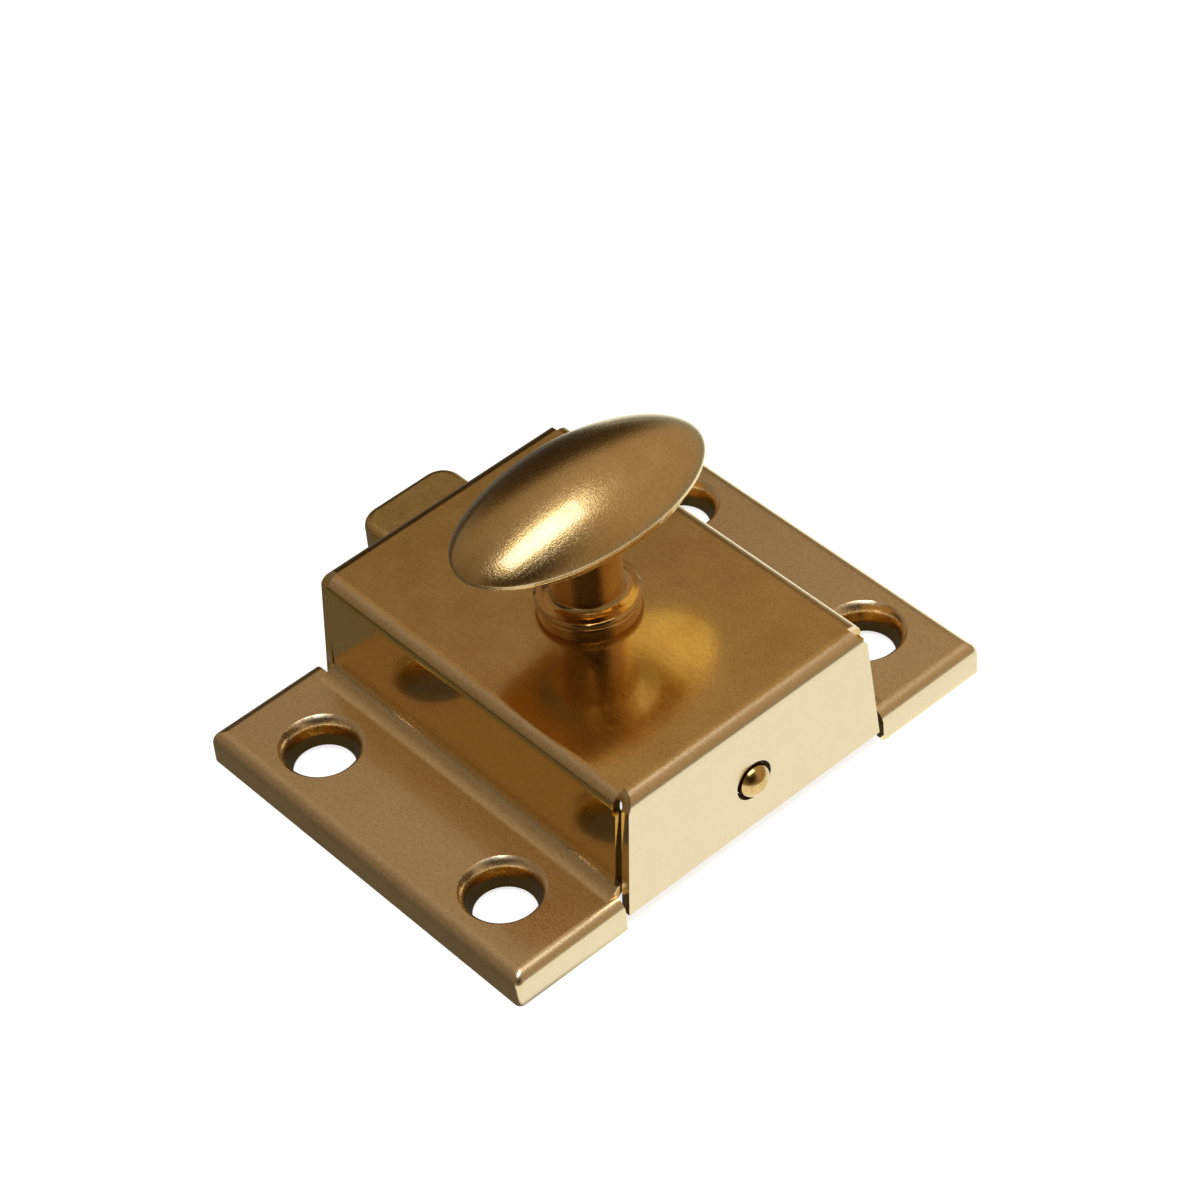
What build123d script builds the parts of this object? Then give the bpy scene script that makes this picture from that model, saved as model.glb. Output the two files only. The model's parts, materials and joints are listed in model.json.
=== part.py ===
from build123d import *
import os
from math import asin, cos, hypot, radians, sin, sqrt

# Cupboard catch with a turning knob and a sprung bolt, in millimetres.
# +Z points out of the door, +X the way the bolt points, +Y along the plate.
# The origin is the centre of the four screw holes, on the mounting plane.

# Driving dimensions of the pressed case
sheet = 0.9
plate_length = 41.0
plate_width = 54.2
plate_height = 3.3
plate_corner = 0.6
case_rear = -20.4
case_front = 19.4
case_height = 14.2
top_width = 28.4
foot_width = 29.4
case_bend = 1.45
foot_bend = 1.7
lip_bend = 1.25
end_wall_rise = 1.3
end_wall_relief = 0.5
end_wall_slit = 0.15
slit_taper = 0.45
tray_inset = 0.4
hole_pitch_x = 24.0
hole_pitch_y = 42.4
hole_radius = 2.6
dimple_radius = 3.75
dimple_floor = 0.5
dimple_land = 0.7
dimple_roll = 0.45
roll_share = 0.18
dimple_sheet = 0.6
cut_margin = 1.0

# Driving dimensions of the latch
bolt_travel = 5.9
knob_turn = 80.0
bolt_width = 10.6
bolt_bottom = 4.0
bolt_top = 11.0
bolt_tip = 25.4
bolt_tip_thickness = 2.6
bolt_bevel_start = 19.9
bolt_corner = 2.2
bolt_edge = 0.9
slot_gap = 0.15
slot_corner = 0.3
yoke_thickness = 3.8
yoke_arm = 2.1
yoke_wall = 3.0
yoke_corner = 1.2
yoke_front_gap = 0.1
rod_radius = 1.6
rod_hole_radius = 1.95
rod_height = 6.5
rod_reach = 1.2
rod_dome = 1.2
cross_pin_radius = 0.5
wire_radius = 0.2
coil_radius = 2.35
coil_turns = 6
wire_sides = 6
spring_gap = 0.05

# Driving dimensions of the drive dog
dog_flat = 2.5
dog_gap = 0.1
dog_clearance = 0.3
dog_thickness = 2.6
dog_overturn = 4.0
dog_tip_radius = 0.5
lobe_thickness = 2.2
lobe_hollow = (1.7, 5.2)
hub_radius = 3.5
hub_top = 12.2
hub_clearance = 0.4
square_side = 3.0
flank_points = 7

# Driving dimensions of the spindle, its bush and the knob
shank_radius = 2.25
running_gap = 0.05
neck_radius = 3.2
foot_radius = 4.7
foot_thickness = 0.8
foot_edge = 0.25
foot_flare = 0.8
rivet_radius = 2.3
rivet_height = 0.7
rivet_taper = 30.0
bush_flange_radius = 4.5
bush_flange = 0.7
bush_edge = 0.18
bush_barrel_radius = 3.1
bush_lip_radius = 3.9
bush_lip = 0.4
washer_radius = 3.9
washer_thickness = 0.6
knob_length = 26.0
knob_width = 14.0
knob_rim = 26.0
knob_rim_height = 0.4
knob_crown = 4.1
knob_sheet = 0.8
knob_back_step = 0.4
knob_back_drop = 1.4
knob_back_lip = 0.4
knob_pad_radius = 3.9
knob_dish_radius = 5.3
knob_hollow = ((5.8, 0), (4.2, 1.8), (0, 3.6))
tenon_radius = 1.8
tenon_head_radius = 2.8
tenon_head = 0.7

# Places worked out from those above
spindle_x = (case_rear + case_front) / 2
half_plate = plate_width / 2
half_top = top_width / 2
half_foot = foot_width / 2
inner_rear = case_rear + sheet
inner_front = case_front - sheet
wall_end = inner_rear + end_wall_slit
relief_floor = case_height - case_bend - end_wall_relief
slit_floor = plate_height + foot_bend / 2
tray_edge = half_foot + tray_inset
end_wall_lead = 1.2 * case_bend
rim_radius = dimple_radius + dimple_roll
land_top = dimple_floor + dimple_land
rolled_radius = dimple_radius + roll_share * (hole_radius - dimple_radius)
rolled_height = plate_height + roll_share * (land_top - plate_height)
base_radius = bolt_travel / radians(knob_turn)
overturn_reach = dog_flat + base_radius * radians(knob_turn + dog_overturn)
lobe_reach = hypot(overturn_reach, base_radius)
window_half = lobe_reach + dog_clearance
yoke_half = window_half + yoke_arm
window_rear = spindle_x - dog_flat - dog_gap
window_front = spindle_x + lobe_reach + bolt_travel + dog_clearance
yoke_rear = window_rear - yoke_wall
yoke_front = inner_front - yoke_front_gap
yoke_bottom = rod_height - yoke_thickness / 2
rod_tip = case_rear - rod_reach
dome_radius = (rod_radius ** 2 + rod_dome ** 2) / (2 * rod_dome)
dog_bottom = rod_height - dog_thickness / 2
dog_top = rod_height + dog_thickness / 2
hub_bottom = rod_height + yoke_thickness / 2 + hub_clearance
bush_bore = shank_radius + running_gap
bush_top = case_height + bush_flange
bush_bottom = case_height - sheet - bush_lip
foot_bottom = bush_top + running_gap
foot_top = foot_bottom + foot_thickness
flare_middle = foot_flare * (1 - sqrt(0.5))
knob_base = knob_rim - knob_rim_height
pad_bottom = knob_base - knob_sheet - knob_back_drop
half_length = knob_length / 2
crown_radius = (half_length ** 2 + knob_crown ** 2) / (2 * knob_crown)
crown_half_angle = asin(half_length / crown_radius) / 2
crown_middle = (
    crown_radius * sin(crown_half_angle),
    knob_rim + knob_crown - crown_radius * (1 - cos(crown_half_angle)),
)
plate_bottom = knob_base - knob_sheet
knob_squash = (knob_width / knob_length, 1, 1)
spindle_axis = Axis((spindle_x, 0, 0), (0, 0, 1))
turned = Plane(origin=(spindle_x, 0, 0), x_dir=(1, 0, 0), z_dir=(0, -1, 0))

os.makedirs("parts", exist_ok=True)


def save(part, name):
    """Label a finished piece and write it."""
    part.label = name
    export_step(part, f"parts/{name}.step")


# Raised channel: top, two drafted walls and the bends at their feet
with BuildPart() as channel:
    with BuildSketch(Plane.YZ.offset(case_rear)):
        with BuildLine():
            FilletPolyline(
                (-half_plate + lip_bend, plate_height),
                (-half_foot, plate_height),
                (-half_top, case_height),
                (half_top, case_height),
                (half_foot, plate_height),
                (half_plate - lip_bend, plate_height),
                radius=[foot_bend, case_bend, case_bend, foot_bend],
            )
            offset(amount=sheet, side=Side.RIGHT)
        make_face()
    extrude(amount=case_front - case_rear)
    with BuildSketch(Plane.XZ) as end_cut:
        with BuildLine():
            Polyline(
                (case_rear - sheet, case_height + sheet),
                (case_rear + case_bend, case_height + sheet),
                (case_rear + case_bend, relief_floor),
                (wall_end, relief_floor),
                (wall_end + slit_taper, slit_floor),
                (wall_end, slit_floor),
                (wall_end, -sheet),
                (case_rear - sheet, -sheet),
                close=True,
            )
        make_face()
        mirror(about=Plane.YZ.offset(spindle_x), mode=Mode.ADD)
    extrude(amount=half_plate, both=True, mode=Mode.SUBTRACT)

# Hollow under one flange, inside its turned-down lips
with BuildPart() as flange_hollow:
    with BuildSketch():
        with Locations((0, tray_edge - cut_margin)):
            Rectangle(
                plate_length - 2 * sheet,
                half_plate - sheet - tray_edge + cut_margin,
                align=(Align.CENTER, Align.MIN),
            )
    extrude(amount=plate_height - sheet)
    chamfer(flange_hollow.faces().sort_by(Axis.Z)[-1].edges(), lip_bend - sheet)

# One flange, bent down along its outer edge and at both ends
with BuildPart() as flange:
    with BuildSketch():
        with Locations((0, tray_edge)):
            Rectangle(
                plate_length,
                half_plate - tray_edge,
                align=(Align.CENTER, Align.MIN),
            )
    extrude(amount=plate_height)
    outer_corners = flange.edges().filter_by(Axis.Z).group_by(Axis.Y)[-1]
    fillet(outer_corners, plate_corner)
    rim = flange.faces().sort_by(Axis.Z)[-1].edges()
    fillet(rim - rim.sort_by(Axis.Y)[:1], lip_bend)
    add(flange_hollow.part, mode=Mode.SUBTRACT)

# Rolled screw hole, pressed down so that a countersunk head lies flush
with BuildPart() as dimple:
    with BuildSketch(Plane.XZ):
        with BuildLine():
            Polyline(
                (rim_radius, plate_height),
                (rolled_radius, rolled_height),
                (hole_radius, land_top),
                (hole_radius, dimple_floor),
                (hole_radius + dimple_sheet, dimple_floor),
                (dimple_radius + dimple_sheet, plate_height - sheet),
                (rim_radius, plate_height - sheet),
                close=True,
            )
        make_face()
    revolve(axis=Axis.Z)


def end_wall(outer_x, inward):
    """The top's end, folded down into a wall that widens a little downwards."""
    with BuildPart() as wall:
        with BuildSketch(Plane.XZ):
            with BuildLine():
                FilletPolyline(
                    (outer_x + inward * end_wall_lead, case_height),
                    (outer_x, case_height),
                    (outer_x, end_wall_rise),
                    radius=case_bend,
                )
                side = Side.LEFT if inward > 0 else Side.RIGHT
                offset(amount=sheet, side=side)
            make_face()
        extrude(amount=half_foot, both=True)
        with BuildSketch(Plane.YZ.offset(outer_x)):
            with BuildLine():
                Polyline(
                    (-half_top + case_bend, case_height),
                    (-half_top + end_wall_relief, case_height - case_bend),
                    (-half_foot, end_wall_rise),
                    (half_foot, end_wall_rise),
                    (half_top - end_wall_relief, case_height - case_bend),
                    (half_top - case_bend, case_height),
                    close=True,
                )
            make_face()
        extrude(amount=2 * case_bend, both=True, mode=Mode.INTERSECT)
    return wall.part


rear_wall = end_wall(case_rear, 1)
front_wall = end_wall(case_front, -1)

# The whole case is one pressed and folded sheet
with BuildPart() as case:
    add(channel.part)
    add(flange.part)
    mirror(flange.part, about=Plane.XZ)
    add(rear_wall)
    add(front_wall)
    with GridLocations(hole_pitch_x, hole_pitch_y, 2, 2):
        Hole(radius=rim_radius)
        add(dimple.part)
    with BuildSketch(Plane.XY.offset(case_height)):
        with Locations((spindle_x, 0)):
            Circle(bush_barrel_radius)
    extrude(amount=-2 * sheet, mode=Mode.SUBTRACT)
    with BuildSketch(Plane.YZ.offset(case_rear)):
        with Locations((0, rod_height)):
            Circle(rod_hole_radius)
    extrude(amount=2 * sheet, mode=Mode.SUBTRACT)
    with BuildSketch(Plane.YZ.offset(case_front)):
        with Locations((0, (bolt_top + bolt_bottom) / 2)):
            RectangleRounded(
                bolt_width + 2 * slot_gap,
                bolt_top - bolt_bottom + 2 * slot_gap,
                slot_corner,
            )
    extrude(amount=-2 * sheet, mode=Mode.SUBTRACT)

# Bush clinched in the case top, with a flange above and a lip below
with BuildPart() as collar_bush:
    with BuildSketch(turned):
        with BuildLine():
            Polyline(
                (bush_bore, bush_bottom),
                (bush_lip_radius, bush_bottom),
                (bush_lip_radius, case_height - sheet),
                (bush_barrel_radius, case_height - sheet),
                (bush_barrel_radius, case_height),
                (bush_flange_radius, case_height),
                (bush_flange_radius, bush_top - bush_edge),
                (bush_flange_radius - bush_edge, bush_top),
                (bush_bore, bush_top),
                close=True,
            )
        make_face()
    revolve(axis=spindle_axis)

# Spindle: tenon, neck, flared foot, round shank, square seat and riveted end
with BuildPart() as spindle:
    with BuildSketch(turned):
        with BuildLine():
            Polyline(
                (0, hub_top),
                (shank_radius, hub_top),
                (shank_radius, foot_bottom),
                (foot_radius - foot_edge, foot_bottom),
                (foot_radius, foot_bottom + foot_edge),
                (foot_radius, foot_top - foot_edge),
                (foot_radius - foot_edge, foot_top),
                (neck_radius + foot_flare, foot_top),
                (neck_radius + flare_middle, foot_top + flare_middle),
                (neck_radius, foot_top + foot_flare),
                (neck_radius, pad_bottom),
                (tenon_radius, pad_bottom),
                (tenon_radius, pad_bottom + knob_sheet),
                (tenon_head_radius, pad_bottom + knob_sheet),
                (tenon_radius, pad_bottom + knob_sheet + tenon_head),
                (0, pad_bottom + knob_sheet + tenon_head),
                close=True,
            )
        make_face()
    revolve(axis=spindle_axis)
    with BuildSketch(Plane.XY.offset(dog_bottom)):
        with Locations((spindle_x, 0)):
            Rectangle(square_side, square_side)
    extrude(until=Until.NEXT)
    with BuildSketch(Plane.XY.offset(dog_bottom)):
        with Locations((spindle_x, 0)):
            Circle(rivet_radius)
    extrude(amount=-rivet_height, taper=rivet_taper)

# Thrust washer between the dog's hub and the bush
with BuildPart() as thrust_washer:
    with BuildSketch(Plane.XY.offset(hub_top)):
        with Locations((spindle_x, 0)):
            Circle(washer_radius)
            Circle(bush_bore, mode=Mode.SUBTRACT)
    extrude(amount=washer_thickness)


def flank_point(turn):
    """Where the lobe bears on the yoke once the dog has turned this far, in degrees."""
    angle = radians(turn)
    reach = dog_flat + base_radius * angle
    return (
        base_radius * sin(angle) - reach * cos(angle),
        base_radius * cos(angle) + reach * sin(angle),
    )


# Drive dog: its involute lobes push the yoke back evenly as the knob turns
with BuildPart() as drive_dog:
    with BuildSketch(Plane(origin=(spindle_x, 0, dog_bottom))):
        last_turn = knob_turn + dog_overturn
        flank = [flank_point(last_turn * i / (flank_points - 1)) for i in range(flank_points)]
        tip_x, tip_y = flank[-1]
        waist = hub_radius / sqrt(2)
        with BuildLine():
            Line((-dog_flat, 0), flank[0])
            Spline(*flank)
            Line(flank[-1], (tip_x + lobe_thickness / 2, tip_y - lobe_thickness / 2))
            ThreePointArc(
                (tip_x + lobe_thickness / 2, tip_y - lobe_thickness / 2),
                lobe_hollow,
                (waist, waist),
            )
            CenterArc((0, 0), hub_radius, 0, 45)
            mirror(about=Plane.XZ)
        make_face()
        tips = vertices().sort_by(Axis.Y)
        fillet([tips[0], tips[-1]], dog_tip_radius)
    extrude(amount=dog_thickness)
    with BuildSketch(Plane(origin=(spindle_x, 0, dog_top))):
        Circle(dog_flat)
    extrude(amount=hub_bottom - dog_top)
    with BuildSketch(Plane(origin=(spindle_x, 0, hub_top))):
        Circle(hub_radius)
    extrude(amount=hub_bottom - hub_top)
    with BuildSketch(Plane(origin=(spindle_x, 0, dog_bottom))):
        Rectangle(square_side, square_side)
    extrude(amount=hub_top - dog_bottom, mode=Mode.SUBTRACT)

# Latch bolt: a yoke round the dog and a nose bevelled on its underside
with BuildPart() as latch_bolt:
    with BuildSketch(Plane.XY.offset(yoke_bottom)) as yoke:
        with BuildLine():
            Polyline(
                (yoke_rear, -yoke_half),
                (yoke_front, -yoke_half),
                (yoke_front, yoke_half),
                (yoke_rear, yoke_half),
                close=True,
            )
        make_face()
        fillet(vertices(), yoke_corner)
        with BuildSketch(mode=Mode.PRIVATE) as window:
            with BuildLine():
                Polyline(
                    (window_rear, -window_half),
                    (window_front, -window_half),
                    (window_front, window_half),
                    (window_rear, window_half),
                    close=True,
                )
            make_face()
            fillet(window.vertices(), yoke_corner)
        add(window.sketch, mode=Mode.SUBTRACT)
    extrude(amount=yoke_thickness)
    with BuildSketch(Plane.XY.offset(bolt_bottom)):
        with BuildLine():
            Polyline(
                (window_front, -bolt_width / 2),
                (bolt_tip, -bolt_width / 2),
                (bolt_tip, bolt_width / 2),
                (window_front, bolt_width / 2),
                close=True,
            )
        make_face()
        fillet(vertices().group_by(Axis.X)[-1], bolt_corner)
    extrude(amount=bolt_top - bolt_bottom)
    fillet(latch_bolt.faces().sort_by(Axis.Z)[-1].edges(), bolt_edge)
    with BuildSketch(Plane.XZ):
        with BuildLine():
            Polyline(
                (bolt_bevel_start, bolt_bottom),
                (bolt_tip, bolt_top - bolt_tip_thickness),
                (bolt_tip + 1, bolt_top - bolt_tip_thickness),
                (bolt_tip + 1, bolt_bottom - 1),
                (bolt_bevel_start, bolt_bottom - 1),
                close=True,
            )
        make_face()
    extrude(amount=bolt_width, both=True, mode=Mode.SUBTRACT)
    with BuildSketch(Plane.YZ.offset(yoke_rear)):
        with Locations((0, rod_height)):
            Circle(rod_radius)
    extrude(amount=yoke_wall, mode=Mode.SUBTRACT)
    with BuildSketch(Plane.XY.offset(yoke_bottom)):
        with Locations((yoke_rear + yoke_wall / 2, 0)):
            Circle(cross_pin_radius)
    extrude(amount=yoke_thickness, mode=Mode.SUBTRACT)

# Tail rod, fixed in the yoke, with a domed end that shows in the rear wall
with BuildPart() as tail_rod:
    with BuildSketch(Plane.XZ):
        with BuildLine():
            Polyline(
                (rod_tip, rod_height),
                (window_rear, rod_height),
                (window_rear, rod_height + rod_radius),
                (rod_tip + rod_dome, rod_height + rod_radius),
            )
            RadiusArc((rod_tip + rod_dome, rod_height + rod_radius), (rod_tip, rod_height), -dome_radius)
        make_face()
    revolve(axis=Axis((0, 0, rod_height), (1, 0, 0)))
    with BuildSketch(Plane.XY.offset(yoke_bottom)):
        with Locations((yoke_rear + yoke_wall / 2, 0)):
            Circle(cross_pin_radius)
    extrude(amount=yoke_thickness, mode=Mode.SUBTRACT)

# Cross pin through the yoke and the rod
with BuildPart() as cross_pin:
    with BuildSketch(Plane.XY.offset(yoke_bottom)):
        with Locations((yoke_rear + yoke_wall / 2, 0)):
            Circle(cross_pin_radius)
    extrude(amount=yoke_thickness)

# Bolt spring, coiled round the rod from the yoke to the rear wall, its wire six-sided
with BuildPart() as bolt_spring:
    spring_start = yoke_rear - wire_radius - spring_gap
    spring_end = inner_rear + wire_radius + spring_gap
    spring_length = spring_start - spring_end
    with BuildLine() as coil:
        Helix(
            pitch=spring_length / coil_turns,
            height=spring_length,
            radius=coil_radius,
            center=(spring_start, 0, rod_height),
            direction=(-1, 0, 0),
        )
    with BuildSketch(Plane(origin=coil.line @ 0, z_dir=coil.line % 0)):
        RegularPolygon(wire_radius, wire_sides)
    sweep(is_frenet=True)

# Knob shell: an oval dome with a narrow upright rim, hollowed inside by two round tapers
with BuildPart() as knob_dome:
    with BuildSketch(Plane.XZ):
        with BuildLine():
            Polyline(
                (0, knob_rim + knob_crown),
                (0, knob_base),
                (half_length, knob_base),
                (half_length, knob_rim),
            )
            ThreePointArc((half_length, knob_rim), crown_middle, (0, knob_rim + knob_crown))
        make_face()
    revolve(axis=Axis.Z)
    scale(by=knob_squash)

with BuildPart() as knob_shell:
    add(knob_dome.part.moved(Location((spindle_x, 0, 0))))
    with BuildSketch(turned):
        with BuildLine():
            Polyline([(radius, knob_base + rise) for radius, rise in knob_hollow])
            Polyline((0, knob_base + knob_hollow[-1][1]), (0, knob_base), (knob_hollow[0][0], knob_base))
        make_face()
    revolve(axis=spindle_axis, mode=Mode.SUBTRACT)

# Knob back: an oval plate that closes the shell, dished round the neck that it seats on
with BuildPart() as knob_back:
    with BuildSketch(Plane.XY.offset(plate_bottom)):
        with Locations((spindle_x, 0)):
            Ellipse(knob_width / 2 - knob_back_step, half_length - knob_back_step)
            Circle(knob_dish_radius, mode=Mode.SUBTRACT)
    extrude(amount=knob_sheet)
    with BuildSketch(turned):
        with BuildLine():
            Polyline(
                (tenon_radius, pad_bottom),
                (knob_pad_radius, pad_bottom),
                (knob_dish_radius, plate_bottom),
                (knob_dish_radius + knob_back_lip, plate_bottom),
            )
            offset(amount=knob_sheet, side=Side.LEFT)
        make_face()
    revolve(axis=spindle_axis)

save(case.part, "case")
save(collar_bush.part, "collar_bush")
save(spindle.part, "spindle")
save(thrust_washer.part, "thrust_washer")
save(drive_dog.part, "drive_dog")
save(latch_bolt.part, "latch_bolt")
save(tail_rod.part, "tail_rod")
save(cross_pin.part, "cross_pin")
save(bolt_spring.part, "bolt_spring")
save(knob_shell.part, "knob_shell")
save(knob_back.part, "knob_back")
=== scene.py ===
# Cupboard catch: pressed brass case, oval turn knob, sprung bolt
import bmesh
import bpy
import json
from math import cos, pi, radians, sin, tan
from mathutils import Matrix, Vector

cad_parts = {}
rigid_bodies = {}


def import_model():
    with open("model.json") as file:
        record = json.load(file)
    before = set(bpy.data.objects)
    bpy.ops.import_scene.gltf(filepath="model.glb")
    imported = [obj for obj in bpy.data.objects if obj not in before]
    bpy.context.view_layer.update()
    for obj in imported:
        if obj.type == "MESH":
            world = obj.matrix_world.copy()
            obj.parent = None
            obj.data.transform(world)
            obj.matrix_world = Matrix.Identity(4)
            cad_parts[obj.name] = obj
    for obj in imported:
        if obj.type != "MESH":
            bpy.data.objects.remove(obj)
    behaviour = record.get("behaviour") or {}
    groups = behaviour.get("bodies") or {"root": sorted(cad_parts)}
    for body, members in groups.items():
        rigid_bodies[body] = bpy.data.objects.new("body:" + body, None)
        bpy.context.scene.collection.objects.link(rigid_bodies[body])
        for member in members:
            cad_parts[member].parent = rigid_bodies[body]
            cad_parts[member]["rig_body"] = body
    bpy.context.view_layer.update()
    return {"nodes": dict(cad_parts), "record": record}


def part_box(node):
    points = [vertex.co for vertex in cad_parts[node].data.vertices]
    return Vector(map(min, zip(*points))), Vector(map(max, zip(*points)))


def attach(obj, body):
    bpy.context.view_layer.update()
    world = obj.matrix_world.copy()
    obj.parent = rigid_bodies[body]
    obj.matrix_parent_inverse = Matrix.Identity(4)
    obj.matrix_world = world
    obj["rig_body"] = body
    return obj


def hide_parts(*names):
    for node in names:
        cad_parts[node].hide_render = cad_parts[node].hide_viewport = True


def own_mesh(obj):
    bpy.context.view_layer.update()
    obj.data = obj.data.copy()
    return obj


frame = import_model()
scene = bpy.context.scene
scene.view_settings.view_transform = "Standard"
mm = 0.001
print("frame loaded,", len(frame["nodes"]), "nodes")


def addNode(tree, kind, **settings):
    node = tree.nodes.new(kind)
    for name, value in settings.items():
        setattr(node, name, value)
    return node


def axesOf(tree, vector):
    axes = addNode(tree, "ShaderNodeSeparateXYZ")
    tree.links.new(vector, axes.inputs["Vector"])
    return axes.outputs["X"], axes.outputs["Y"], axes.outputs["Z"]


def noiseAt(tree, vector, scale, detail, roughness=0.5):
    noise = addNode(tree, "ShaderNodeTexNoise")
    noise.inputs["Scale"].default_value = scale
    noise.inputs["Detail"].default_value = detail
    noise.inputs["Roughness"].default_value = roughness
    tree.links.new(vector, noise.inputs["Vector"])
    return noise.outputs["Fac"]


# Runs from one number to the other while the value runs from low to high
def remap(tree, value, low, high, toLow=0, toHigh=1):
    node = addNode(tree, "ShaderNodeMapRange")
    limits = {"From Min": low, "From Max": high, "To Min": toLow, "To Max": toHigh}
    for name, number in limits.items():
        node.inputs[name].default_value = number
    tree.links.new(value, node.inputs["Value"])
    return node.outputs["Result"]


def calc(tree, operation, first, second=None):
    node = addNode(tree, "ShaderNodeMath", operation=operation)
    for socket, value in zip(node.inputs, (first, second)):
        if value is None:
            continue
        if isinstance(value, (int, float)):
            socket.default_value = value
        else:
            tree.links.new(value, socket)
    return node.outputs["Value"]


def mixColor(tree, share, first, second, blend="MIX"):
    mix = addNode(tree, "ShaderNodeMix", data_type="RGBA", blend_type=blend)
    tree.links.new(share, mix.inputs["Factor"])
    for socket, color in (("A", first), ("B", second)):
        if isinstance(color, tuple):
            mix.inputs[socket].default_value = (*color, 1)
        else:
            tree.links.new(color, mix.inputs[socket])
    return mix.outputs["Result"]


# Colours along a value, from stops of (position, colour) in rising order
def colorAlong(tree, value, stops):
    ramp = addNode(tree, "ShaderNodeValToRGB")
    marks = ramp.color_ramp.elements
    for mark, (position, color) in zip(marks, (stops[0], stops[-1])):
        mark.position = position
        mark.color = (*color, 1)
    for position, color in stops[1:-1]:
        marks.new(position).color = (*color, 1)
    tree.links.new(value, ramp.inputs["Fac"])
    return ramp.outputs["Color"]


# Where the case's lacquer is rubbed, with painted sheen laid over it, as (height in mm, share): lips, foot
# bends and top bends
wearAndSheenBands = {
    "heights": ((0.0, 0.0), (2.3, 0.0), (2.75, 0.8), (3.2, 0.9), (3.32, 0.65), (4.0, 0.8), (5.2, 0.0),
                (13.3, 0.0), (13.8, 0.8), (14.1, 0.8), (14.19, 0.0)),
    "span": 15 * mm,          # height at the ramp's end
    "flangeFrom": 14.3 * mm,  # the lower half gets rubbed lacquer and painted sheen only past the side walls
}
# Painted light on the case walls: a painted reflection on the end walls, painted shade on the side walls
endWallPaintedReflection = {"from": 19.6 * mm, "full": 20.3 * mm, "color": (0.80, 0.68, 0.42), "share": 0.8}
sideWallPaintedShade = {"from": 13.9 * mm, "full": 14.1 * mm, "outer": 15.6 * mm, "top": 13.4 * mm,
            "color": (0.79, 0.51, 0.05), "share": 0.85}


# Share of rubbed lacquer and painted sheen at each point of the case
def wearAndSheenShare(tree, place):
    x, y, z = axesOf(tree, place)
    span = wearAndSheenBands["span"]
    stops = [(height * mm / span, 3 * (share,)) for height, share in wearAndSheenBands["heights"]]
    wearAndSheen = colorAlong(tree, calc(tree, "DIVIDE", z, span), stops)
    outside = calc(tree, "GREATER_THAN", calc(tree, "ABSOLUTE", y), wearAndSheenBands["flangeFrom"])
    high = calc(tree, "GREATER_THAN", z, span / 2)
    return calc(tree, "MULTIPLY", wearAndSheen, calc(tree, "MAXIMUM", outside, high))


# Painted light on the case walls: a painted reflection that pales the end walls and painted shade that
# deepens the side walls' gold, each with its share
def paintedWallLight(tree, place):
    x, y, z = axesOf(tree, place)
    paintedReflection = remap(tree, calc(tree, "ABSOLUTE", x), endWallPaintedReflection["from"], endWallPaintedReflection["full"], 0, endWallPaintedReflection["share"])
    aside = calc(tree, "ABSOLUTE", y)
    paintedShade = remap(tree, aside, sideWallPaintedShade["from"], sideWallPaintedShade["full"], 0, sideWallPaintedShade["share"])
    paintedShade = calc(tree, "MULTIPLY", paintedShade, calc(tree, "LESS_THAN", aside, sideWallPaintedShade["outer"]))
    return paintedReflection, calc(tree, "MULTIPLY", paintedShade, calc(tree, "LESS_THAN", z, sideWallPaintedShade["top"]))


noiseRange = (0.3, 0.7)      # where nearly all of a noise's values lie


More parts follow.
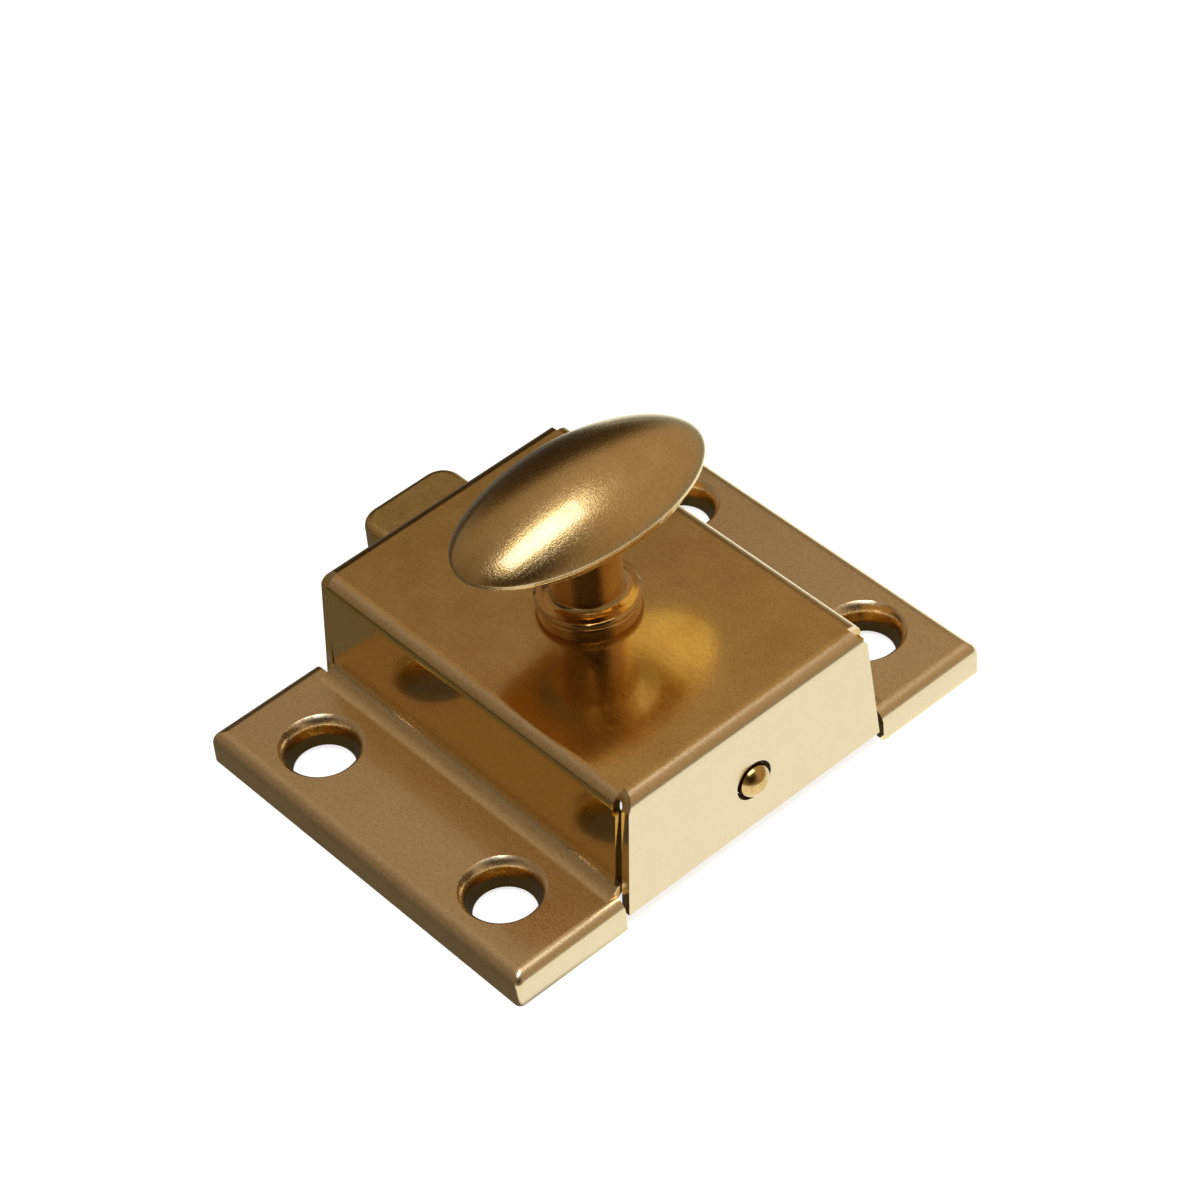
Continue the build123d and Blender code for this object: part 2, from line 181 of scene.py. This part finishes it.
# Plated or bare metal with cloudy colour, fine grain and faint polishing lines
def platedMetal(name, look):
    material = bpy.data.materials.new(name)
    material.use_nodes = True
    tree = material.node_tree
    shader = tree.nodes["Principled BSDF"]
    shader.inputs["Metallic"].default_value = 1.0
    shader.inputs["Coat Weight"].default_value = look["lacquer"]
    shader.inputs["Coat Roughness"].default_value = look["lacquerRoughness"]
    shader.inputs["Coat IOR"].default_value = look["lacquerIor"]
    place = addNode(tree, "ShaderNodeTexCoord").outputs["Object"]

    clouds = noiseAt(tree, place, look["cloudScale"], 3)
    clouds = remap(tree, clouds, *noiseRange, 0, look["cloudAmount"])
    specks = noiseAt(tree, place, look["speckScale"], 2)
    flecks = remap(tree, specks, *look["fleckRange"], 0, look["fleckAmount"])
    surface = mixColor(tree, clouds, look["color"], look["tarnish"])
    # on the case: painted shade on the side walls, then rubbed lacquer with painted sheen on the lips and
    # bends
    if look["rubbedAndSheen"]:
        wearAndSheen = wearAndSheenShare(tree, place)
        paintedReflection, paintedShade = paintedWallLight(tree, place)
        surface = mixColor(tree, paintedShade, surface, sideWallPaintedShade["color"])
        surface = mixColor(tree, wearAndSheen, surface, look["rubbedAndSheen"])
    surface = mixColor(tree, flecks, surface, look["fleck"], "MULTIPLY")
    # on the case: a painted reflection pales the end walls
    if look["rubbedAndSheen"]:
        surface = mixColor(tree, paintedReflection, surface, endWallPaintedReflection["color"])
    tree.links.new(surface, shader.inputs["Base Color"])

    stretch = addNode(tree, "ShaderNodeMapping")
    stretch.inputs["Scale"].default_value = look["lineStretch"]
    tree.links.new(place, stretch.inputs["Vector"])
    lines = noiseAt(tree, stretch.outputs["Vector"], look["lineScale"], 2)
    grain = noiseAt(tree, place, look["grainScale"], 4, 0.6)
    roughness = calc(tree, "ADD", remap(tree, grain, *noiseRange, *look["roughness"]),
                     remap(tree, lines, *noiseRange, 0, look["lineRoughness"]))
    if look["rubbedAndSheen"]:
        roughness = calc(tree, "ADD", roughness, calc(tree, "MULTIPLY", wearAndSheen, look["rubbedRoughness"]))
    tree.links.new(roughness, shader.inputs["Roughness"])

    bump = addNode(tree, "ShaderNodeBump")
    bump.inputs["Strength"].default_value = look["bumpStrength"]
    bump.inputs["Distance"].default_value = look["bumpDepth"]
    relief = calc(tree, "ADD", calc(tree, "MULTIPLY", lines, look["lineHeight"]), grain)
    tree.links.new(relief, bump.inputs["Height"])
    tree.links.new(bump.outputs["Normal"], shader.inputs["Normal"])
    return material


brassLook = {
    "color": (0.80, 0.57, 0.19),
    "tarnish": (0.67, 0.43, 0.11),
    # pale rubbed lacquer, partly a painted sheen on the lips and bends
    "rubbedAndSheen": (0.96, 0.81, 0.57), "rubbedRoughness": 0.12,
    "fleck": (0.64, 0.55, 0.40),
    "cloudScale": 320, "cloudAmount": 0.9,
    "speckScale": 3600, "fleckRange": (0.45, 0.8), "fleckAmount": 0.6,
    "grainScale": 5600, "roughness": (0.13, 0.22),
    "lineScale": 900, "lineStretch": (0.25, 3.0, 1.0), "lineRoughness": 0.03, "lineHeight": 0.4,
    "bumpStrength": 0.13, "bumpDepth": 0.00002,
    "lacquer": 1.0, "lacquerRoughness": 0.08, "lacquerIor": 1.75,
}
plainLook = {**brassLook, "rubbedAndSheen": None}
knobLook = {**plainLook, "color": (0.80, 0.60, 0.29), "tarnish": (0.70, 0.49, 0.19),
            "grainScale": 5000, "roughness": (0.18, 0.28), "bumpStrength": 0.6, "bumpDepth": 0.00004,
            "fleckAmount": 0.5, "speckScale": 3400, "lineStretch": (2.0, 0.3, 1.0)}
turnedLook = {**plainLook, "color": (0.72, 0.46, 0.14), "tarnish": (0.62, 0.36, 0.09),
              "roughness": (0.07, 0.13), "lineStretch": (0.3, 0.3, 9.0), "lineHeight": 0.8,
              "bumpStrength": 0.06}
backLook = {**plainLook, "roughness": (0.10, 0.16), "bumpStrength": 0.08}
boltLook = {**plainLook, "color": (0.76, 0.58, 0.28), "tarnish": (0.62, 0.46, 0.20),
            "roughness": (0.28, 0.38), "cloudScale": 420, "lacquer": 0.2, "bumpStrength": 0.4}
rodLook = {**plainLook, "roughness": (0.14, 0.22), "lineStretch": (9.0, 0.3, 0.3)}
washerLook = {**plainLook, "roughness": (0.24, 0.34), "lacquer": 0.0}
dogLook = {**plainLook, "color": (0.50, 0.50, 0.49), "tarnish": (0.38, 0.37, 0.35),
           "fleck": (0.7, 0.7, 0.7), "roughness": (0.34, 0.46), "lacquer": 0.0, "bumpStrength": 0.5}
pinLook = {**dogLook, "color": (0.62, 0.62, 0.61), "roughness": (0.16, 0.24), "bumpStrength": 0.15}
springLook = {**dogLook, "color": (0.56, 0.56, 0.57), "tarnish": (0.42, 0.40, 0.38),
              "roughness": (0.20, 0.30), "bumpStrength": 0.2}

caseBrass = platedMetal("caseBrass", brassLook)
knobBrass = platedMetal("knobBrass", knobLook)
backBrass = platedMetal("backBrass", backLook)
turnedBrass = platedMetal("turnedBrass", turnedLook)
boltBrass = platedMetal("boltBrass", boltLook)
rodBrass = platedMetal("rodBrass", rodLook)
washerBrass = platedMetal("washerBrass", washerLook)
dogSteel = platedMetal("dogSteel", dogLook)
pinSteel = platedMetal("pinSteel", pinLook)
springSteel = platedMetal("springSteel", springLook)
print("materials made")


# Pieces that keep the frame's own shape, with their sheared edges broken
edges = {"mergeGap": 0.002 * mm, "flatAngle": 0.4, "sharpAngle": 32, "breakAngle": 38, "breakSteps": 2}


def smoothCopy(nodeName, pieceName, material, edgeBreak):
    mesh = frame["nodes"][nodeName].data.copy()
    work = bmesh.new()
    work.from_mesh(mesh)
    bmesh.ops.remove_doubles(work, verts=work.verts, dist=edges["mergeGap"])
    bmesh.ops.dissolve_limit(work, angle_limit=radians(edges["flatAngle"]),
                             verts=work.verts, edges=work.edges)
    if nodeName in reshaped:
        reshaped[nodeName](work)
    work.to_mesh(mesh)
    work.free()
    mesh.shade_smooth()
    mesh.set_sharp_from_angle(angle=radians(edges["sharpAngle"]))
    mesh.materials.clear()
    mesh.materials.append(material)
    piece = bpy.data.objects.new(pieceName + "Draft", mesh)
    scene.collection.objects.link(piece)
    if edgeBreak:
        bevel = piece.modifiers.new("edge", "BEVEL")
        bevel.width = edgeBreak
        bevel.segments = edges["breakSteps"]
        bevel.limit_method = "ANGLE"
        bevel.angle_limit = radians(edges["breakAngle"])
        bevel.harden_normals = True
    weigh = piece.modifiers.new("normals", "WEIGHTED_NORMAL")
    weigh.keep_sharp = True
    return keepResult(piece, pieceName, nodeName)


# The evaluated draft becomes a plain mesh that stands for its node
def keepResult(draft, pieceName, nodeName, body=None):
    evaluated = draft.evaluated_get(bpy.context.evaluated_depsgraph_get())
    mesh = bpy.data.meshes.new_from_object(evaluated)
    mesh.name = pieceName
    piece = bpy.data.objects.new(pieceName, mesh)
    scene.collection.objects.link(piece)
    bpy.data.objects.remove(draft)
    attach(piece, body or frame["nodes"][nodeName]["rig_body"])
    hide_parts(nodeName)
    return piece


# Pressed dimples drawn in to the narrower ones that the real case shows
dimples = {"rim": 4.2 * mm, "narrowRim": 3.85 * mm, "wideHole": 2.8 * mm, "flatFrom": 4.6 * mm}


def narrowDimples(work):
    mounts = frame["record"]["mounts"]
    holes = next(mount["dims"] for mount in mounts if mount["name"] == "screw_holes")
    halfX, halfY = holes["spacing_x_mm"] * mm / 2, holes["spacing_y_mm"] * mm / 2
    hole, rim, flat = holes["hole_r_mm"] * mm, dimples["rim"], dimples["flatFrom"]
    wall = (dimples["narrowRim"] - dimples["wideHole"]) / (rim - hole)
    for vert in work.verts:
        centre = Vector((halfX if vert.co.x > 0 else -halfX, halfY if vert.co.y > 0 else -halfY))
        offset = vert.co.xy - centre
        reach = offset.length
        if reach > flat:
            continue
        if reach < rim:
            drawn = dimples["wideHole"] + (reach - hole) * wall
        else:
            drawn = reach - (rim - dimples["narrowRim"]) * (flat - reach) / (flat - rim)
        vert.co.xy = centre + offset * (drawn / reach)


# The knob's back plate rises a little towards both ends, so it catches the light under the knob
wings = {"slope": 5.5, "start": 5.3 * mm, "plate": 0.8 * mm, "cuts": 9, "cutGap": 0.0005 * mm}


def raiseWings(work):
    end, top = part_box("knob_back")[1][1:]
    for step in range(wings["cuts"]):
        away = wings["start"] + step * (end - wings["start"]) / wings["cuts"]
        for side in (1, -1):
            bmesh.ops.bisect_plane(work, geom=work.verts[:] + work.edges[:] + work.faces[:],
                                   plane_co=(0, side * away, 0), plane_no=(0, 1, 0), dist=wings["cutGap"])
    for vert in work.verts:
        rise = max(abs(vert.co.y) - wings["start"], 0) * tan(radians(wings["slope"]))
        vert.co.z += rise * min(max(top - vert.co.z, 0) / wings["plate"], 1)


reshaped = {"case": narrowDimples, "knob_back": raiseWings}
copies = {
    "case": ("pressedCase", caseBrass, "case_brass", 0.09 * mm),
    "collar_bush": ("collarBush", turnedBrass, "turned_brass", 0),
    "spindle": ("turnedSpindle", turnedBrass, "turned_brass", 0.05 * mm),
    "knob_back": ("knobBackPlate", backBrass, "knob_brass", 0.08 * mm),
    "latch_bolt": ("latchBolt", boltBrass, "bolt_brass", 0.12 * mm),
    "tail_rod": ("tailRod", rodBrass, "rod_brass", 0),
    "thrust_washer": ("thrustWasher", washerBrass, "washer_brass", 0.05 * mm),
    "drive_dog": ("driveDog", dogSteel, "dog_steel", 0.1 * mm),
    "cross_pin": ("crossPin", pinSteel, "pin_steel", 0.05 * mm),
}
for nodeName, (pieceName, material, slotName, edgeBreak) in copies.items():
    smoothCopy(nodeName, pieceName, material, edgeBreak)
print("copies made")


# A node tree with named inputs
def nodeTree(name, inputs):
    tree = bpy.data.node_groups.new(name, "GeometryNodeTree")
    for label, kind in inputs.items():
        tree.interface.new_socket(label, in_out="INPUT", socket_type="NodeSocket" + kind)
    tree.interface.new_socket("Geometry", in_out="OUTPUT", socket_type="NodeSocketGeometry")
    return tree, tree.nodes.new("NodeGroupInput"), tree.nodes.new("NodeGroupOutput")


def chain(tree, nodes):
    for before, after in zip(nodes, nodes[1:]):
        tree.links.new(before.outputs[0], after.inputs[0])


# Every tree ends alike: smooth faces, real geometry and its material
def closeTree(tree, first, given, out):
    smooth = addNode(tree, "GeometryNodeSetShadeSmooth")
    real = addNode(tree, "GeometryNodeRealizeInstances")
    paint = addNode(tree, "GeometryNodeSetMaterial")
    tree.links.new(given.outputs["Material"], paint.inputs["Material"])
    chain(tree, [*first, smooth, real, paint, out])


def pointAt(tree, x, y, z):
    point = addNode(tree, "ShaderNodeCombineXYZ")
    for axis, value in zip("XYZ", (x, y, z)):
        tree.links.new(value, point.inputs[axis])
    return point.outputs["Vector"]


# Puts the tree on an empty mesh, with its inputs set by their identifiers
def runTree(tree, pieceName, values):
    draft = bpy.data.objects.new(pieceName + "Draft", bpy.data.meshes.new(pieceName + "Draft"))
    scene.collection.objects.link(draft)
    modifier = draft.modifiers.new("shape", "NODES")
    modifier.node_group = tree
    for item in tree.interface.items_tree:
        if item.item_type == "SOCKET" and item.in_out == "INPUT" and item.name in values:
            modifier[item.identifier] = values[item.name]
    return draft


# Knob dome: an oval shell whose every ring follows one crown rule
knob = {"rings": 64, "sides": 160, "crownEnd": 0.8, "rimEnd": 0.9,   # shares of the rings
        "rimHeight": 0.4 * mm, "crownPower": 0.78, "topGap": 0.001 * mm, "mergeGap": 0.004 * mm}


def knobDomeTree():
    tree, given, out = nodeTree("knobDomeShape", {
        "Rings": "Int", "Sides": "Int", "Half Width": "Float", "Half Length": "Float", "Base": "Float",
        "Rim Height": "Float", "Crown": "Float", "Crown Power": "Float", "Centre X": "Float",
        "Material": "Material"})
    get = given.outputs
    grid = addNode(tree, "GeometryNodeMeshGrid")
    grid.inputs["Size X"].default_value = 1
    grid.inputs["Size Y"].default_value = 1
    tree.links.new(get["Rings"], grid.inputs["Vertices X"])
    tree.links.new(get["Sides"], grid.inputs["Vertices Y"])
    x, y, z = axesOf(tree, addNode(tree, "GeometryNodeInputPosition").outputs["Position"])
    along = calc(tree, "ADD", x, 0.5)
    sweep = calc(tree, "MULTIPLY", calc(tree, "ADD", y, 0.5), 2 * pi)
    # the first rings make the crown, the next the rim, the last the flat underside
    crownShare = remap(tree, along, 0, knob["crownEnd"])
    rimShare = remap(tree, along, knob["crownEnd"], knob["rimEnd"])
    underShadeShare = remap(tree, along, knob["rimEnd"], 1)
    angle = calc(tree, "MULTIPLY", crownShare, pi / 2)
    reach = calc(tree, "MULTIPLY", calc(tree, "SINE", angle), calc(tree, "SUBTRACT", 1, underShadeShare))
    upright = calc(tree, "MAXIMUM", calc(tree, "COSINE", angle), 0)
    lift = calc(tree, "POWER", upright, calc(tree, "MULTIPLY", get["Crown Power"], 2))
    crownZ = calc(tree, "MULTIPLY", lift, get["Crown"])
    rimZ = calc(tree, "MULTIPLY", calc(tree, "SUBTRACT", 1, rimShare), get["Rim Height"])
    across = calc(tree, "MULTIPLY", reach, calc(tree, "COSINE", sweep))
    endways = calc(tree, "MULTIPLY", reach, calc(tree, "SINE", sweep))
    across = calc(tree, "MULTIPLY", across, get["Half Width"])
    endways = calc(tree, "MULTIPLY", endways, get["Half Length"])
    place = pointAt(tree, calc(tree, "ADD", across, get["Centre X"]), endways,
                    calc(tree, "ADD", calc(tree, "ADD", crownZ, rimZ), get["Base"]))
    move = addNode(tree, "GeometryNodeSetPosition")
    tree.links.new(grid.outputs["Mesh"], move.inputs["Geometry"])
    tree.links.new(place, move.inputs["Position"])
    close = addNode(tree, "GeometryNodeMergeByDistance")
    close.inputs["Distance"].default_value = knob["mergeGap"]
    closeTree(tree, [move, close], given, out)
    return tree


shellLow, shellHigh = (Vector(corner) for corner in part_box("knob_shell"))
crown = shellHigh.z - shellLow.z - knob["rimHeight"] - knob["topGap"]
dome = runTree(knobDomeTree(), "knobDome", {
    "Rings": knob["rings"], "Sides": knob["sides"],
    "Half Width": (shellHigh.x - shellLow.x) / 2, "Half Length": (shellHigh.y - shellLow.y) / 2,
    "Base": shellLow.z, "Rim Height": knob["rimHeight"],
    "Crown": crown, "Crown Power": knob["crownPower"],
    "Centre X": (shellHigh.x + shellLow.x) / 2, "Material": knobBrass})
keepResult(dome, "knobDome", "knob_shell")
print("knob dome made")


# Bolt spring: a wire helix with closed end turns
spring = {"turns": 8.0, "wire": 0.2 * mm, "closedShare": 0.12, "closedPitch": 2.02,   # pitch in wire radii
          "points": 420, "sides": 14}


def springTree():
    tree, given, out = nodeTree("springShape", {
        "Turns": "Float", "Wire Radius": "Float", "Coil Radius": "Float", "Start": "Vector",
        "Length": "Float", "Closed Share": "Float", "Points": "Int", "Sides": "Int",
        "Material": "Material"})
    get = given.outputs
    line = addNode(tree, "GeometryNodeCurvePrimitiveLine")
    points = addNode(tree, "GeometryNodeResampleCurve")
    tree.links.new(line.outputs["Curve"], points.inputs["Curve"])
    tree.links.new(get["Points"], points.inputs["Count"])
    share = addNode(tree, "GeometryNodeSplineParameter").outputs["Factor"]
    angle = calc(tree, "MULTIPLY", calc(tree, "MULTIPLY", share, get["Turns"]), 2 * pi)
    # at both ends the turns lie on each other, one wire apart
    closed = get["Closed Share"]
    pitched = addNode(tree, "ShaderNodeMapRange", interpolation_type="LINEAR")
    tree.links.new(share, pitched.inputs["Value"])
    tree.links.new(closed, pitched.inputs["From Min"])
    tree.links.new(calc(tree, "SUBTRACT", 1, closed), pitched.inputs["From Max"])
    pitch = calc(tree, "MULTIPLY", get["Wire Radius"], spring["closedPitch"])
    flat = calc(tree, "MULTIPLY", calc(tree, "MULTIPLY", get["Turns"], closed), pitch)
    startTurn, endTurn = (
        calc(tree, "MULTIPLY", calc(tree, "MINIMUM", calc(tree, "DIVIDE", part, closed), 1), flat)
        for part in (share, calc(tree, "SUBTRACT", 1, share)))
    middle = calc(tree, "SUBTRACT", get["Length"], calc(tree, "MULTIPLY", flat, 2))
    reach = calc(tree, "ADD", calc(tree, "MULTIPLY", pitched.outputs["Result"], middle), startTurn)
    reach = calc(tree, "ADD", reach, calc(tree, "SUBTRACT", flat, endTurn))
    ring = pointAt(tree, calc(tree, "MULTIPLY", reach, -1),
                   calc(tree, "MULTIPLY", calc(tree, "COSINE", angle), get["Coil Radius"]),
                   calc(tree, "MULTIPLY", calc(tree, "SINE", angle), get["Coil Radius"]))
    shift = addNode(tree, "ShaderNodeVectorMath", operation="ADD")
    tree.links.new(ring, shift.inputs[0])
    tree.links.new(get["Start"], shift.inputs[1])
    move = addNode(tree, "GeometryNodeSetPosition")
    tree.links.new(points.outputs["Curve"], move.inputs["Geometry"])
    tree.links.new(shift.outputs["Vector"], move.inputs["Position"])
    wire = addNode(tree, "GeometryNodeCurvePrimitiveCircle")
    tree.links.new(get["Wire Radius"], wire.inputs["Radius"])
    tree.links.new(get["Sides"], wire.inputs["Resolution"])
    skin = addNode(tree, "GeometryNodeCurveToMesh")
    skin.inputs["Fill Caps"].default_value = True
    tree.links.new(move.outputs["Geometry"], skin.inputs["Curve"])
    tree.links.new(wire.outputs["Curve"], skin.inputs["Profile Curve"])
    closeTree(tree, [skin], given, out)
    return tree


coilLow, coilHigh = (Vector(corner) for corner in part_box("bolt_spring"))
coilRadius = (coilHigh.y - coilLow.y) / 2 - spring["wire"]
coilMiddle = (coilLow + coilHigh) / 2
coil = runTree(springTree(), "boltSpring", {
    "Turns": spring["turns"], "Wire Radius": spring["wire"], "Coil Radius": coilRadius,
    "Start": (coilHigh.x - spring["wire"], coilMiddle.y, coilMiddle.z),
    "Length": coilHigh.x - coilLow.x - 2 * spring["wire"], "Closed Share": spring["closedShare"],
    "Points": spring["points"], "Sides": spring["sides"], "Material": springSteel})
springPiece = keepResult(coil, "boltSpring", "bolt_spring", "housing")
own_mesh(springPiece)
print("spring made")


# Floor, light and camera
studio = {"floorSize": 6.0, "floorColor": 0.82, "floorGlow": 0.80,
          # how the brass sees the floor, a painted reflection: lit past the case's end and past its far
          # side, painted shade in front and below
          "mirrorEnd": (1.04, 1.03, 1.0), "mirrorFar": (1.22, 1.20, 0.95), "mirrorDim": (0.14, 0.12, 0.09),
          "endEdge": (-0.0204, -0.0209), "slant": 1.3, "slantEdge": (-0.010, 0.004),
          "under": (0.0200, 0.0267), "underShadeShare": 0.35, "farEdge": (0.06, 0.16), "farShare": 0.2}
lamp = {"lean": (-0.21, 0.09, 0.975), "distance": 0.7, "width": 0.28, "length": 0.54, "radiance": 3.2}
room = {"heights": ((0.0, (0.36, 0.27, 0.17)), (0.25, (0.36, 0.26, 0.155)),
                    (0.5, (0.40, 0.275, 0.155)), (1.0, (0.42, 0.31, 0.20))),   # horizon to zenith
        "nearSide": 0.52, "farSide": 1.12, "sideReach": 0.6, "shade": (0.034, 0.021, 0.010),
        # dark corners of the room: where each lies and the cosines between which it fades in
        "corners": (((-0.568, 0.444, 0.692), (0.72, 0.95)), ((0.83, -0.48, 0.28), (0.84, 0.965)))}


# 1 for camera, glossy and transmission rays
def seenDirectly(tree):
    path = addNode(tree, "ShaderNodeLightPath").outputs
    direct = calc(tree, "MAXIMUM", path["Is Camera Ray"], path["Is Glossy Ray"])
    return calc(tree, "MAXIMUM", direct, path["Is Transmission Ray"]), path


# The floor as brass reflects it, a painted reflection: lit past the case's end, painted shade below and in
# front
def floorMirror(tree):
    place = addNode(tree, "ShaderNodeTexCoord").outputs["Object"]
    x, y, z = axesOf(tree, place)
    beyondEnd = remap(tree, x, *studio["endEdge"])
    aslant = calc(tree, "ADD", x, calc(tree, "MULTIPLY", y, studio["slant"]))
    behind = remap(tree, calc(tree, "MULTIPLY", aslant, -1), *studio["slantEdge"])
    outsideX, outsideY = (calc(tree, "GREATER_THAN", calc(tree, "ABSOLUTE", value), half)
                          for value, half in zip((x, y), studio["under"]))
    clear = calc(tree, "MAXIMUM", outsideX, outsideY)
    away = addNode(tree, "ShaderNodeVectorMath", operation="LENGTH")
    tree.links.new(place, away.inputs[0])
    near = remap(tree, away.outputs["Value"], *studio["farEdge"], 1, studio["farShare"])
    color = mixColor(tree, calc(tree, "MULTIPLY", behind, clear), studio["mirrorDim"], studio["mirrorFar"])
    color = mixColor(tree, calc(tree, "MULTIPLY", beyondEnd, clear), color, studio["mirrorEnd"])
    return color, calc(tree, "MULTIPLY", near, remap(tree, clear, 0, 1, studio["underShadeShare"], 1))


def paleFloor():
    material = bpy.data.materials.new("paleFloor")
    material.use_nodes = True
    tree = material.node_tree
    tree.nodes.clear()
    out = addNode(tree, "ShaderNodeOutputMaterial")
    lit = addNode(tree, "ShaderNodeBsdfDiffuse")
    lit.inputs["Color"].default_value = (*(3 * [studio["floorColor"]]), 1)
    glow = addNode(tree, "ShaderNodeEmission")
    direct, path = seenDirectly(tree)
    tree.links.new(calc(tree, "MULTIPLY", direct, studio["floorGlow"]), glow.inputs["Strength"])
    plain = addNode(tree, "ShaderNodeAddShader")
    tree.links.new(lit.outputs["BSDF"], plain.inputs[0])
    tree.links.new(glow.outputs["Emission"], plain.inputs[1])
    mirrored = addNode(tree, "ShaderNodeEmission")
    color, near = floorMirror(tree)
    tree.links.new(color, mirrored.inputs["Color"])
    tree.links.new(near, mirrored.inputs["Strength"])
    mix = addNode(tree, "ShaderNodeMixShader")
    tree.links.new(path["Is Glossy Ray"], mix.inputs["Fac"])
    tree.links.new(plain.outputs["Shader"], mix.inputs[1])
    tree.links.new(mirrored.outputs["Emission"], mix.inputs[2])
    # from below the floor isn't there, so the underside can be looked at
    below = addNode(tree, "ShaderNodeMixShader")
    clear = addNode(tree, "ShaderNodeBsdfTransparent")
    tree.links.new(addNode(tree, "ShaderNodeNewGeometry").outputs["Backfacing"], below.inputs["Fac"])
    tree.links.new(mix.outputs["Shader"], below.inputs[1])
    tree.links.new(clear.outputs["BSDF"], below.inputs[2])
    tree.links.new(below.outputs["Shader"], out.inputs["Surface"])
    return material


def layFloor():
    mesh = bpy.data.meshes.new("floor")
    half = studio["floorSize"] / 2
    corners = [(x * half, y * half, 0) for x, y in ((-1, -1), (1, -1), (1, 1), (-1, 1))]
    mesh.from_pydata(corners, [], [(0, 1, 2, 3)])
    mesh.materials.append(paleFloor())
    floor = bpy.data.objects.new("floor", mesh)
    scene.collection.objects.link(floor)


# How near a direction lies to the aim, 0 to 1 between the two cosines
def toward(tree, direction, aim, reach):
    dot = addNode(tree, "ShaderNodeVectorMath", operation="DOT_PRODUCT")
    dot.inputs[1].default_value = Vector(aim).normalized()
    tree.links.new(direction, dot.inputs[0])
    spread = addNode(tree, "ShaderNodeMapRange", interpolation_type="SMOOTHSTEP")
    spread.inputs["From Min"].default_value, spread.inputs["From Max"].default_value = reach
    tree.links.new(dot.outputs["Value"], spread.inputs["Value"])
    return spread.outputs["Result"]


def lightWorld():
    world = bpy.data.worlds.new("softRoom")
    scene.world = world
    world.use_nodes = True
    tree = world.node_tree
    background = tree.nodes["Background"]
    direction = addNode(tree, "ShaderNodeTexCoord").outputs["Generated"]
    x, y, z = axesOf(tree, direction)
    sides = remap(tree, y, -room["sideReach"], room["sideReach"], room["farSide"], room["nearSide"])
    dimmed = addNode(tree, "ShaderNodeVectorMath", operation="SCALE")
    tree.links.new(colorAlong(tree, z, room["heights"]), dimmed.inputs[0])
    tree.links.new(sides, dimmed.inputs["Scale"])
    darkened = dimmed.outputs["Vector"]
    for aim, reach in room["corners"]:
        darkened = mixColor(tree, toward(tree, direction, aim, reach), darkened, room["shade"])
    path = addNode(tree, "ShaderNodeLightPath").outputs
    seen = mixColor(tree, path["Is Camera Ray"], darkened, (1, 1, 1))
    tree.links.new(seen, background.inputs["Color"])


def hangSoftbox():
    light = bpy.data.lights.new("softbox", "AREA")
    light.shape = "RECTANGLE"
    light.size = lamp["width"]
    light.size_y = lamp["length"]
    light.energy = lamp["radiance"] * pi * lamp["width"] * lamp["length"]
    box = bpy.data.objects.new("softbox", light)
    scene.collection.objects.link(box)
    lean = Vector(lamp["lean"]).normalized()
    across = Vector((0, 1, 0)).cross(lean).normalized()      # its long side runs along the knob
    turn = Matrix((across, lean.cross(across), lean)).transposed().to_4x4()
    box.matrix_world = Matrix.Translation(lean * lamp["distance"]) @ turn


# The photograph's own viewpoint, in metres, degrees, pixels and sensor millimetres
viewpoint = {"azimuth": 141.965, "elevation": 43.832, "roll": -5.913, "distance": 0.350825,
             "shiftRight": 0.000226, "shiftUp": 0.010025, "focalPixels": 3985.5, "framePixels": 1200,
             "sensor": 36, "nearest": 0.02}


def placeCamera():
    azimuth, elevation, roll = (radians(viewpoint[name]) for name in ("azimuth", "elevation", "roll"))
    back = Vector((cos(elevation) * cos(azimuth), cos(elevation) * sin(azimuth), sin(elevation)))
    levelRight = (-back).cross(Vector((0, 0, 1))).normalized()
    levelUp = levelRight.cross(-back)
    right = levelRight * cos(roll) + levelUp * sin(roll)
    up = levelUp * cos(roll) - levelRight * sin(roll)
    lens = bpy.data.cameras.new("camera")
    lens.sensor_width = viewpoint["sensor"]
    lens.lens = viewpoint["sensor"] * viewpoint["focalPixels"] / viewpoint["framePixels"]
    lens.clip_start = viewpoint["nearest"]
    camera = bpy.data.objects.new("camera", lens)
    scene.collection.objects.link(camera)
    turn = Matrix((right, up, back)).transposed().to_4x4()
    spot = back * viewpoint["distance"] + right * viewpoint["shiftRight"] + up * viewpoint["shiftUp"]
    camera.matrix_world = Matrix.Translation(spot) @ turn
    scene.camera = camera


layFloor()
lightWorld()
hangSoftbox()
placeCamera()
print("stage set")
